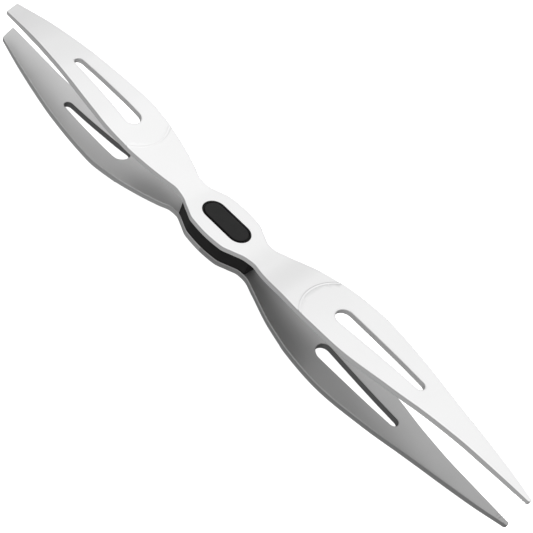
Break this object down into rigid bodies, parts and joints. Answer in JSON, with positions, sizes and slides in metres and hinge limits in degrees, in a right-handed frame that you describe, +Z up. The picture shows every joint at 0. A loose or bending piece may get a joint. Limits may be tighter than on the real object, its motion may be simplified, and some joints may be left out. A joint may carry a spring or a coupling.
{
  "type": "double-ended tweezers",
  "caption": "Steel tweezers with a working end at each side of a black waist: sharp tips at one end, slanted flat tips at the other, slotted finger pads between.",
  "frame": {"origin": "under the middle of the tool, on the surface that its lower pads rest on", "axes": "+X along the tool towards the sharp tips, +Y across the blades, +Z up, from the lower blade to the upper blade"},
  "size_m": [0.15, 0.0142, 0.014],
  "materials": {
    "blade_steel": "satin stainless steel",
    "core_black": "fine moulded black",
    "plug_black": "fine moulded black with a polished rim"
  },
  "bodies": {
    "waist": {"core": "core_black", "upper_plug": "plug_black", "lower_plug": "plug_black", "upper_blade_waist": "blade_steel", "lower_blade_waist": "blade_steel"},
    "upper_point": {"upper_point_arm": "blade_steel"},
    "lower_point": {"lower_point_arm": "blade_steel"},
    "upper_flat": {"upper_flat_arm": "blade_steel"},
    "lower_flat": {"lower_flat_arm": "blade_steel"}
  },
  "joints": [
    {"name": "upper_point_bend", "type": "hinge", "parent": "waist", "child": "upper_point", "pos_m": [0.008, 0, 0.0095], "axis": [0, 1, 0], "range_deg": [0, 3.19], "stiffness_Nm_per_rad": 2.5},
    {"name": "lower_point_bend", "type": "hinge", "parent": "waist", "child": "lower_point", "pos_m": [0.008, 0, 0.0045], "axis": [0, -1, 0], "range_deg": [0, 3.19], "stiffness_Nm_per_rad": 2.5},
    {"name": "upper_flat_bend", "type": "hinge", "parent": "waist", "child": "upper_flat", "pos_m": [-0.0149, 0, 0.00971], "axis": [0, -1, 0], "range_deg": [0, 2.7], "stiffness_Nm_per_rad": 2.5},
    {"name": "lower_flat_bend", "type": "hinge", "parent": "waist", "child": "lower_flat", "pos_m": [-0.0149, 0, 0.00429], "axis": [0, 1, 0], "range_deg": [0, 2.7], "stiffness_Nm_per_rad": 2.5}
  ]
}
